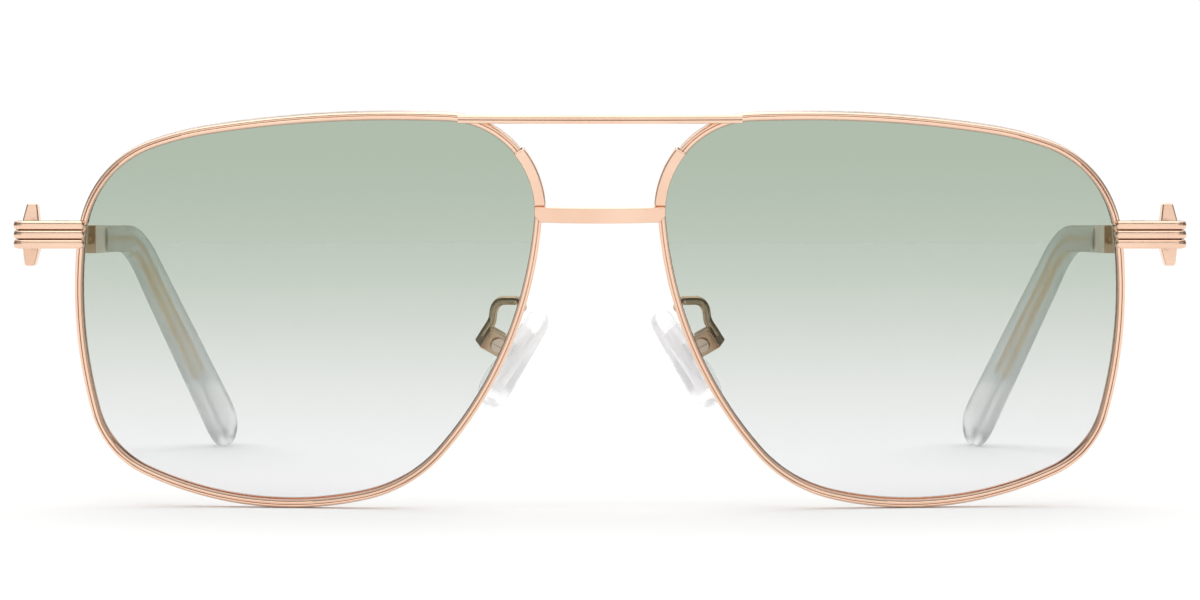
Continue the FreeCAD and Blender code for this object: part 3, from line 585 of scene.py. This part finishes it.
def swept(name, path, section, material, **inputs):
    """Sweep a section along a path, in millimetres: first to the left of travel, then up."""
    line = line_object(f"{name}_path", path)
    loop = line_object(f"{name}_section", [(-a, -b, 0) for a, b in section], closed=True)
    mesh = run_tree(SWEEP, line, {"Section": loop, "Material": material, **inputs})
    for helper in (line, loop):
        bpy.data.objects.remove(helper)
    bm = bmesh.new()
    bm.from_mesh(mesh)
    bmesh.ops.remove_doubles(bm, verts=bm.verts, dist=1e-5)
    bm.to_mesh(mesh)
    bm.free()
    return mesh


def mark_painted_shade(mesh, amount):
    """Painted shade for creases and dark edges: its amount depends on a point of the mesh."""
    marks = mesh.attributes.new("painted_shade_mark", "FLOAT", "POINT")
    for mark, vertex in zip(marks.data, mesh.vertices):
        mark.value = amount(*vertex.co)
    return mesh


def stand(mesh, matrix):
    """Take a mesh from millimetres in a path's own frame to its place on the glasses."""
    bm = bmesh.new()
    bm.from_mesh(mesh)
    for vertex in bm.verts:
        vertex.co = matrix @ (vertex.co * MM)
    bm.to_mesh(mesh)
    bm.free()
    outward(mesh)
    return shade(mesh)

# %% [markdown]
# ## The rims
# A rim is drawn wire with a groove inside for the lens and a scored line on its face, which makes
# the thin rim look like two wires side by side. It is bent round a former, so it follows the
# lens exactly. Here it is swept flat and then laid back onto the curve of the front. It stays
# split behind the end piece, because that is how the lens gets in.

# %% Rims
# Section: outward from the middle line, and back from the front face.
RIM_SECTION = [
    (0.50, 0.42), (0.47, 0.14), (0.41, 0.05), (0.35, 0.0), (0.16, 0.0), (0.12, 0.04), (0.10, 0.20),
    (0.04, 0.20), (0.02, 0.05), (-0.03, 0.01), (-0.26, 0.03), (-0.32, 0.08), (-0.35, 0.24),
    (-0.46, 0.26), (-0.50, 0.32),
    (-0.50, 0.75), (-0.15, 0.75), (-0.15, 1.55), (-0.50, 1.55), (-0.50, 2.06), (-0.44, 2.16),
    (-0.36, 2.20), (0.36, 2.20), (0.45, 2.15), (0.50, 2.05),
]
SPLIT = 0.2
OUTER_SIDE = 50.0   # the rim's outer side is everything further out than this


def open_at_split(points):
    """Start the round path just under the split on the outer side and end just above it."""
    outer = [i for i, (x, z) in enumerate(points) if x > OUTER_SIDE and z < -SPLIT / 2]
    turned = points[outer[0]:] + points[:outer[0]]
    kept = [p for p in turned if p[0] < OUTER_SIDE or abs(p[1]) > SPLIT / 2]
    return [(kept[0][0], -SPLIT / 2)] + kept + [(kept[-1][0], SPLIT / 2)]


def lay_on_front(mesh):
    """Bend a flat mesh (outline x, outline z, depth) onto the curve of the front."""
    bm = bmesh.new()
    bm.from_mesh(mesh)
    for vertex in bm.verts:
        x, z, behind = vertex.co
        vertex.co = LEANING @ (Vector((x, curve_depth(x, z, behind), z)) * MM)
    bm.to_mesh(mesh)
    bm.free()
    outward(mesh)
    return shade(mesh)


rim_path = [(x, z, 0) for x, z in open_at_split(rim_points())]
rim_mesh = swept("rim", rim_path, RIM_SECTION, WIRE_PLATING)
# Painted shade in the scored line on the face, and paler painted shade on the step by the inner edge.
mark_painted_shade(rim_mesh, lambda x, z, depth: 0.55 if 0.15 < depth < 0.22 else
             0.45 if 0.23 < depth < 0.33 else 0.0)
rim_mesh = lay_on_front(rim_mesh)
both_sides("rim", rim_mesh, WIRE_PLATING)

# %% [markdown]
# ## The lenses
# A lens is cut from a moulded sphere, and its edge is ground to a bevel that snaps into the rim's
# groove. Both faces here lie on the same spheres as the front does, so the reflections in them
# are the smooth, slow ones of a real lens.

# %% Lenses
LENS_FACE, LENS_EDGE = -0.52, -0.17
LENS_FRONT, LENS_BACK = 0.32, 2.08
BEVEL_FRONT, BEVEL_BACK = 0.77, 1.53
RING_SIZES = (0.985, 0.93, 0.82, 0.66, 0.48, 0.3, 0.13)


def lens_ring(offset, behind, scale=1.0):
    outline = rim_points(offset, 0.5)
    cx = sum(x for x, z in outline) / len(outline)
    cz = sum(z for x, z in outline) / len(outline)
    ring = [(cx + (x - cx) * scale, cz + (z - cz) * scale) for x, z in outline]
    return [LEANING @ (Vector((x, curve_depth(x, z, behind), z)) * MM) for x, z in ring]


def lens_pole(behind):
    ring = lens_ring(LENS_FACE, behind, RING_SIZES[-1])
    centre = sum(ring, Vector()) / len(ring)
    x, y, z = (LEANING.inverted() @ centre) / MM
    return LEANING @ (Vector((x, curve_depth(x, z, behind), z)) * MM)


lens_rings = [lens_ring(LENS_FACE, LENS_FRONT, s) for s in reversed(RING_SIZES)]
lens_rings += [lens_ring(LENS_FACE, LENS_FRONT), lens_ring(LENS_FACE, BEVEL_FRONT),
               lens_ring(LENS_EDGE, BEVEL_FRONT), lens_ring(LENS_EDGE, BEVEL_BACK),
               lens_ring(LENS_FACE, BEVEL_BACK), lens_ring(LENS_FACE, LENS_BACK)]
lens_rings += [lens_ring(LENS_FACE, LENS_BACK, s) for s in RING_SIZES]
lens_mesh = skin(lens_rings, poles=(lens_pole(LENS_FRONT), lens_pole(LENS_BACK)))
both_sides("lens", lens_mesh, LENS)

# %% [markdown]
# ## The reeded end pieces
# Each end piece is a strip of brass, rolled with three half-round reeds, cut, bent round the
# corner and brazed to the rim. The inner ends of the reeds are filed round like beads. One reed
# is swept round the corner and then copied twice downward.


# %% End pieces
def bent_path(points, radius, step=0.2):
    """Straight runs through the points, joined by round bends of one radius."""
    points = [Vector(p) for p in points]
    path = [points[0]]
    for before, corner, after in zip(points, points[1:], points[2:]):
        arriving, leaving = (corner - before).normalized(), (after - corner).normalized()
        turn = arriving.angle(leaving)
        setback = radius * math.tan(turn / 2)
        middle = corner + (leaving - arriving).normalized() * (radius / math.cos(turn / 2))
        first, second = corner - arriving * setback - middle, corner + leaving * setback - middle
        parts = max(2, math.ceil(radius * turn / step))
        path += [middle + first.normalized().slerp(second.normalized(), i / parts) * first.length
                 for i in range(parts + 1)]
    path.append(points[-1])
    return path


def fill_in(path, step):
    """More points along the straight runs of a path."""
    dense = [path[0]]
    for before, after in zip(path, path[1:]):
        parts = max(1, math.ceil((after - before).length / step))
        dense += [before.lerp(after, i / parts) for i in range(1, parts + 1)]
    return dense


REED_PITCH = 1.2
REED_HIGH = 0.42
STRIP_THICK = 1.25
STRIP_HALF_THICK = 0.62
STRIP_START_X, STRIP_FRONT_Y = 66.55, 6.35
STRIP_OUTER_X, STRIP_BACK_Y = 75.9, 12.55
STRIP_BEND = 1.1
REED_INNER_END = 0.55
SLOT_DEEP = 0.15
front_of_path = REED_HIGH - STRIP_THICK / 2
reed_section = [(STRIP_THICK / 2, 0.61), (front_of_path + SLOT_DEEP, 0.61),
                (front_of_path + SLOT_DEEP, 0.57)]
for i in range(9):
    angle = math.radians(84 - 21 * i)
    reed_section.append((front_of_path - REED_HIGH * math.cos(angle) ** 0.6,
                         0.565 * math.sin(angle) / math.sin(math.radians(84))))
reed_section += [(a, -b) for a, b in reversed(reed_section[:3])]


# Painted shade in the slots between the reeds, and a painted dark line along the top of the upper reed.
def reed_painted_shade(x, y, z):
    from_slot = abs(abs(z) - REED_PITCH / 2)
    return 0.95 if from_slot < 0.045 else 0.6 if z > 1.5 * REED_PITCH - 0.05 else 0.0


front_y, outer_x = STRIP_FRONT_Y + STRIP_HALF_THICK, STRIP_OUTER_X - STRIP_HALF_THICK
strip_corners = [(STRIP_START_X, front_y, 0), (outer_x, front_y, 0), (outer_x, STRIP_BACK_Y, 0)]
strip_path = fill_in(bent_path(strip_corners, STRIP_BEND, 0.12), 0.1)
reed_mesh = swept("end_piece", [(p.x, p.y, -REED_PITCH) for p in strip_path], reed_section,
                  PLATING, **{"Copies": 3, "Spacing": REED_PITCH, "Rounded End": REED_INNER_END})
mark_painted_shade(reed_mesh, reed_painted_shade)
both_sides("end_piece", stand(reed_mesh, LEVEL), PLATING)

# %% [markdown]
# ## The brow bar
# A flat wire with a line rolled along its face, laid across the tops of both rims and brazed
# there. It bows with the front. Its ends are cut square.

# %% Brow bar
BAR_HALF_LENGTH, BAR_LOW, BAR_HIGH = 18.05, 14.12, 15.08
BAR_BOW = 0.42
bar_middle = (BAR_LOW + BAR_HIGH) / 2
bar_half = (BAR_HIGH - BAR_LOW) / 2
bar_section = [
    (0.0, bar_half - 0.12), (0.05, bar_half - 0.04), (0.14, bar_half), (1.7, bar_half),
    (1.8, bar_half - 0.1), (1.8, -bar_half + 0.1), (1.7, -bar_half), (0.14, -bar_half),
    (0.05, -bar_half + 0.04), (0.0, -bar_half + 0.12), (0.0, -0.07), (0.05, -0.04),
    (0.05, 0.01), (-0.03, 0.06),
]
bar_path = []
for i in range(61):
    x = BAR_HALF_LENGTH * (i / 30 - 1)
    bar_path.append((x, 0.58 + BAR_BOW * (x / BAR_HALF_LENGTH) ** 2, bar_middle))
bar_mesh = swept("brow_bar", bar_path, bar_section, PLATING)
# Painted shade along the line rolled into the bar's face.
mark_painted_shade(bar_mesh, lambda x, y, z: 0.7 if -0.05 < z - bar_middle < 0.02 else 0.0)
bar_mesh = stand(bar_mesh, LEANING)
settle(new_piece("brow_bar_look", bar_mesh, PLATING), "brow_bar")
print("brow bar", round(2 * BAR_HALF_LENGTH, 1), "mm long")

# %% [markdown]
# ## Solid pieces with soft edges
# The bridge, the legs, the hinges, the screws, the boxes and the temples are stamped or milled,
# so their shape is already right; only their edges are too sharp. Tumbling rounds every edge of
# a real part a little before plating. A copy of each solid gets the same treatment from a live
# bevel.


# %% Softened copies
SHARPER_THAN = math.radians(30)


def softened(node, material, width, steps):
    """A copy of a plain solid with its sharp edges rounded by a width in millimetres."""
    source = frame["nodes"][node]
    mesh = source.data.copy()
    mesh.transform(source.matrix_world)
    bm = bmesh.new()
    bm.from_mesh(mesh)
    bmesh.ops.remove_doubles(bm, verts=bm.verts, dist=0.002 * MM)
    bmesh.ops.dissolve_limit(bm, angle_limit=math.radians(1), verts=bm.verts, edges=bm.edges)
    bm.to_mesh(mesh)
    bm.free()
    outward(mesh)
    piece = new_piece(f"{node}_look", shade(mesh, SHARPER_THAN), material)
    bevel = piece.modifiers.new("soft_edges", "BEVEL")
    bevel.width = width * MM
    bevel.segments = steps
    bevel.limit_method = "ANGLE"
    bevel.angle_limit = SHARPER_THAN
    bevel.use_clamp_overlap = False
    bevel.harden_normals = True
    return settle(piece, node)


SOFT_PARTS = [
    ("bridge_leg", PLATING, 0.26, 3), ("closing_block_upper", PLATING, 0.06, 2),
    ("closing_block_lower", PLATING, 0.06, 2), ("closing_screw", SCREW_STEEL, 0.03, 1),
    ("front_hinge", PLATING, 0.05, 1), ("temple_hinge", PLATING, 0.05, 1),
    ("hinge_screw", SCREW_STEEL, 0.03, 1), ("pad_box", BROWN_GOLD, 0.22, 3),
    ("pad_screw", SCREW_STEEL, 0.03, 1), ("temple_bar", PLATING, 0.3, 3),
    ("temple_arm", PLATING, 0.05, 1), ("temple_ferrule", BROWN_GOLD, 0.08, 2),
    ("pad_core", INSERT, 0.06, 1),
]
softened("bridge", PLATING, 0.16, 3)
for part, material, width, steps in SOFT_PARTS:
    for side in ("left", "right"):
        softened(f"{side}_{part}", material, width, steps)
print(2 * len(SOFT_PARTS) + 1, "softened pieces")

# %% [markdown]
# ## The clear temple tips
# A tip is a slim bar of clear acetate. A warm wire is shot into it, and then bar and wire are
# bent together behind the ear. It grows deeper toward its round end and leans in toward the
# head. Rings of points follow its middle line; the same line carries the wire inside.

# %% Temple tips
TIP_START, BEND_AT, BEND_RADIUS = 71.5, 98.2, 22.0
TIP_CENTRE_X, TIP_HEIGHT = 73.85, -0.85
DROP, DROP_LENGTH = math.radians(37.7), 54.5
LEVEL_SHIFT, DROP_SHIFT = 0.06, 0.176
BEND_SPREAD = 7.5


def leaned_in(y):
    """How far out the middle of the tip is at a distance back, easing through the bend."""
    past = y - BEND_AT
    if past < -BEND_SPREAD:
        eased = 0.0
    elif past < BEND_SPREAD:
        eased = (past + BEND_SPREAD) ** 2 / (4 * BEND_SPREAD)
    else:
        eased = past
    return TIP_CENTRE_X - LEVEL_SHIFT * max(0.0, y - TIP_START) - DROP_SHIFT * eased


def tip_line(start, end_along, step):
    """Points of the middle line, from a start to a distance down the drop past the bend."""
    corner = Vector((0, BEND_AT, TIP_HEIGHT))
    down = Vector((0, math.cos(DROP), -math.sin(DROP)))
    flat = fill_in(bent_path([Vector((0, start, TIP_HEIGHT)), corner,
                              corner + down * end_along], BEND_RADIUS, step), step)
    return [Vector((leaned_in(p.y), p.y, p.z)) for p in flat]


def rings_along(line, half_thick, half_high, squareness=lambda along: 2, count=24):
    """Rounded rings square to a line; their sizes depend on the distance along it."""
    rings, along = [], 0.0
    for i, point in enumerate(line):
        if i:
            along += (point - line[i - 1]).length
        ahead = line[min(i + 1, len(line) - 1)] - line[max(i - 1, 0)]
        ahead.normalize()
        up = (Vector((0, 0, 1)) - ahead * ahead.z).normalized()
        side = ahead.cross(up)
        thick, high, power = half_thick(along), half_high(along), squareness(along)
        ring = []
        for j in range(count):
            angle = math.tau * j / count
            c, s = math.cos(angle), math.sin(angle)
            a = math.copysign(abs(c) ** (2 / power), c) * thick
            b = math.copysign(abs(s) ** (2 / power), s) * high
            ring.append(LEVEL @ ((point + side * a + up * b) * MM))
        rings.append(ring)
    return rings


tip_path = tip_line(TIP_START + 0.02, DROP_LENGTH, 0.7)
TIP_LONG = sum((b - a).length for a, b in zip(tip_path, tip_path[1:]))
END_ROUND = 3.3
SLIM_UP_TO, END_FULL = 20.0, 4.0
FRONT_HALF_HIGH, END_HALF_HIGH = 2.0, 3.38
FRONT_HALF_THICK, END_HALF_THICK = 1.53, 1.88


def tip_end(along):
    """One along most of the tip, falling round to nothing at its end."""
    left = max(0.0, (along - (TIP_LONG - END_ROUND)) / END_ROUND)
    return math.sqrt(max(0.0, 1 - left ** 2.2))


def front_round(along):
    """Takes the sharpness off the edge that meets the ferrule."""
    return min(1.0, 0.93 + 0.07 * along / 0.4)


def grown(along, front, end):
    """A size that grows evenly from its value at the front to its value near the end."""
    span = TIP_LONG - SLIM_UP_TO - END_FULL
    share = min(1.0, max(0.0, (along - SLIM_UP_TO) / span))
    return front + (end - front) * share


def tip_half_high(along):
    return grown(along, FRONT_HALF_HIGH, END_HALF_HIGH) * tip_end(along) * front_round(along)


def tip_half_thick(along):
    size = grown(along, FRONT_HALF_THICK, END_HALF_THICK)
    return size * (0.4 + 0.6 * tip_end(along)) * front_round(along)


def tip_squareness(along):
    """How nearly square a tip is across: less so in its last few millimetres."""
    return 4.5 - 2.1 * min(1.0, max(0.0, (along - (TIP_LONG - 7)) / 6))


fine_end = [tip_path[-1].lerp(tip_path[-2], i / 6) for i in (5, 4, 3, 2, 1.2, 0.6, 0.2)]
tip_rings = rings_along(tip_path[:-1] + fine_end, tip_half_thick, tip_half_high,
                        tip_squareness, 56)
tip_mesh = skin(tip_rings, poles=(None, LEVEL @ (tip_path[-1] * MM)))
both_sides("temple_tip", tip_mesh, ACETATE)
print("tip", round(TIP_LONG, 1), "mm along its middle")

# %% [markdown]
# ## The wire in the tip
# The core wire is soft gold-coloured brass, so that an optician can bend the warm tip. Its end is
# turned down to a blunt point with two rings that grip the acetate.

# %% Core wires
CORE_START, CORE_DOWN = 59.85, 36.0
CORE_SLIM, CORE_THICK_MORE = 0.34, 0.28
THICK_UP_TO = 12.5
RING_PLACES, RING_HIGH, RING_WIDE = (2.6, 1.4), 0.07, 0.3

core_line = tip_line(CORE_START, CORE_DOWN, 0.4)
CORE_LONG = sum((b - a).length for a, b in zip(core_line, core_line[1:]))


def core_size(along):
    left = CORE_LONG - along
    rings = sum(RING_HIGH * math.exp(-((left - place) / RING_WIDE) ** 2)
                for place in RING_PLACES)
    thick = min(1.0, max(0.0, (THICK_UP_TO - along) / 1.5))
    size = CORE_SLIM + CORE_THICK_MORE * thick
    return size * min(1.0, 0.45 + left / 1.2) + rings


core_rings = rings_along(core_line, core_size, core_size, count=20)
both_sides("core_wire", skin(core_rings), CORE_GOLD)

# %% [markdown]
# ## The nose pads
# Pads are moulded from clear silicone round a hard clear plate: a teardrop, narrow at the top,
# with a soft roll all round. The plate carries a tab with a hole, and the tab sits in a small
# box at the end of a bent wire arm, so the pad can rock.

# %% The pad's own frame
PAD_CENTRE = (11.3, 11.3, -16.2)
PAD = LEVEL @ Matrix.Translation(Vector(PAD_CENTRE) * MM)
PAD = PAD @ Matrix.Rotation(math.radians(-33), 4, "Y")
PAD = PAD @ Matrix.Rotation(math.radians(6), 4, "X")
PAD = PAD @ Matrix.Rotation(math.radians(-22), 4, "Z")

# %% Nose pads
PAD_HALF, TOP_RADIUS, LOW_RADIUS = 7.15, 2.1, 3.5
PAD_HALF_THICK = 1.28
POINTS_PER_ROUND = 36


def teardrop(inset):
    """The outline of a pad: two circles and their common tangents."""
    top, low = TOP_RADIUS - inset, LOW_RADIUS - inset
    top_z, low_z = PAD_HALF - TOP_RADIUS, -PAD_HALF + LOW_RADIUS
    lean = math.asin((low - top) / (top_z - low_z))
    points = []
    for i in range(POINTS_PER_ROUND):
        angle = lean + (math.pi - 2 * lean) * i / (POINTS_PER_ROUND - 1)
        points.append((top * math.cos(angle), top_z + top * math.sin(angle)))
    for i in range(POINTS_PER_ROUND):
        angle = math.pi - lean + (math.pi + 2 * lean) * i / (POINTS_PER_ROUND - 1)
        points.append((low * math.cos(angle), low_z + low * math.sin(angle)))
    return points


# Share of the half thickness, and how far the outline is drawn in there.
PAD_LEVELS = [(1.0, 1.75), (1.0, 1.35), (0.97, 1.0), (0.88, 0.55), (0.72, 0.24), (0.45, 0.06),
              (0.1, 0.0), (-0.2, 0.0), (-0.55, 0.08), (-0.8, 0.3), (-0.93, 0.65), (-0.99, 1.1),
              (-1.0, 1.6)]
pad_rings = [[PAD @ (Vector((level * PAD_HALF_THICK, a, b)) * MM) for a, b in teardrop(inset)]
             for level, inset in PAD_LEVELS]
pad_poles = [PAD @ (Vector((level * PAD_HALF_THICK, 0, -1.2)) * MM) for level in (1.0, -1.0)]
both_sides("nose_pad", skin(pad_rings, poles=pad_poles), SILICONE)

# %% [markdown]
# The arm is a slightly flattened wire that leaves the back of the rim, loops over and comes down
# into the box.

# %% Pad arms
BOX_MIDDLE, ABOVE_BOX, IN_BOX = 5.35, 2.95, 0.65
ARM_BEND = 1.9
WIRE_HALF_THICK, WIRE_HALF_HIGH = 0.48, 0.6
ARM_POINTS = [(9.85, 3.2, -9.3), (10.3, 6.4, -8.5), (13.6, 8.6, -8.5)]
above_box, inside_box = [(PAD @ (Vector((BOX_MIDDLE, 0, up)) * MM) - PIVOT) / MM
                         for up in (ABOVE_BOX, IN_BOX)]
arm_line = fill_in(bent_path(ARM_POINTS + [above_box, inside_box], ARM_BEND, 0.15), 0.25)
arm_rings = rings_along(arm_line, lambda along: WIRE_HALF_THICK, lambda along: WIRE_HALF_HIGH)
both_sides("pad_arm", skin(arm_rings), BROWN_GOLD)

# %% [markdown]
# ## The studio
# The glasses stand on a white sweep under a large soft box. The walls to the left and right are
# kept dark, because metal only looks like metal when it has something dark to reflect; a narrow
# dark flag above the camera and a grey beam across the far wall draw a fine line along every
# rounded edge.

# %% Floor
floor_mesh = bpy.data.meshes.new("floor")
FLOOR = 6.0   # metres from the middle to each side
floor_mesh.from_pydata([(-FLOOR, -FLOOR, 0), (FLOOR, -FLOOR, 0), (FLOOR, FLOOR, 0),
                        (-FLOOR, FLOOR, 0)], [], [(0, 1, 2, 3)])
floor_paint, board = new_board("white_sweep")
speck = board.noise(board.places(), 40, detail=3)
board.finish(board.node("ShaderNodeBsdfPrincipled", values={
    "Base Color": board.colours(speck, (0.90, 0.90, 0.90), (0.88, 0.88, 0.88)),
    "Roughness": 0.75 + 0.1 * speck,
    "Specular IOR Level": 0.1}))
floor = new_piece("floor", floor_mesh, floor_paint)

# %% World
world = bpy.data.worlds.new("studio")
bpy.context.scene.world = world
sky = Board(world)
direction = sky.node("ShaderNodeTexCoord", output="Generated")
parts = [sky.node("ShaderNodeSeparateXYZ", values={"Vector": direction}, output=axis)
         for axis in "XYZ"]
aside = sky.node("ShaderNodeMath", {"operation": "ABSOLUTE"}, {0: parts[0]})
overhead = sky.range(parts[2], 0.35, 0.8)
behind_camera = sky.range(parts[1], -0.1, 0.1, 1.0, 0.0)
sideways = (0.65 * sky.range(aside, 0.45, 0.85) * behind_camera
            + sky.range(aside, 0.45, 0.65) * (1 - behind_camera))
flag = sky.range(parts[2], 0.36, 0.42) * sky.range(parts[2], 0.6, 0.66, 1.0, 0.0) * behind_camera
wall = 0.979 - 0.03 * behind_camera
strip = sky.range(parts[2], 0.12, 0.2) * sky.range(parts[2], 0.42, 0.5, 1.0, 0.0)
dark_wall = wall - 0.85 * sideways * (1 - overhead)
lit = dark_wall + 0.4 * strip * sky.range(parts[1], 0.3, 0.6) + 0.57 * overhead
beam = (sky.range(aside, 0.03, 0.08) * sky.range(parts[2], 0.18, 0.22)
        * sky.range(parts[2], 0.34, 0.4, 1.0, 0.0) * sky.range(parts[1], 0.3, 0.6))
brightness = lit * (1 - 0.85 * flag) * (1 - 0.8 * beam)
shade_colour = sky.node("ShaderNodeCombineXYZ", values={
    "X": brightness, "Y": brightness, "Z": brightness})
sky.finish(sky.node("ShaderNodeBackground", values={"Color": shade_colour, "Strength": 1.05}),
           "ShaderNodeOutputWorld")


# %% Lamps
def soft_box(name, where, aim, size, power):
    lamp = bpy.data.lights.new(name, "AREA")
    lamp.shape = "SQUARE"
    lamp.size = size
    lamp.energy = power
    made = bpy.data.objects.new(name, lamp)
    made.location = where
    made.rotation_euler = (Vector(aim) - Vector(where)).to_track_quat("-Z", "Y").to_euler()
    bpy.context.scene.collection.objects.link(made)
    return made


key = soft_box("key", (-0.25, -0.25, 0.9), (0, 0, 0), 0.7, 0.5)
fill = soft_box("fill", (0.5, -0.6, 0.45), (0, -0.07, 0.03), 0.4, 0.12)
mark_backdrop(floor, key, fill, camera)
bpy.context.scene.view_settings.view_transform = "Standard"
print("studio ready")

# %% [markdown]
# ## The outer sizes
# The outer size of the designed solids, and of everything modelled here.

look_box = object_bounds()
for label, (low, high) in (("designed", cad_box), ("looks", look_box)):
    print(label, [round(v / MM, 2) for v in high - low], "mm")
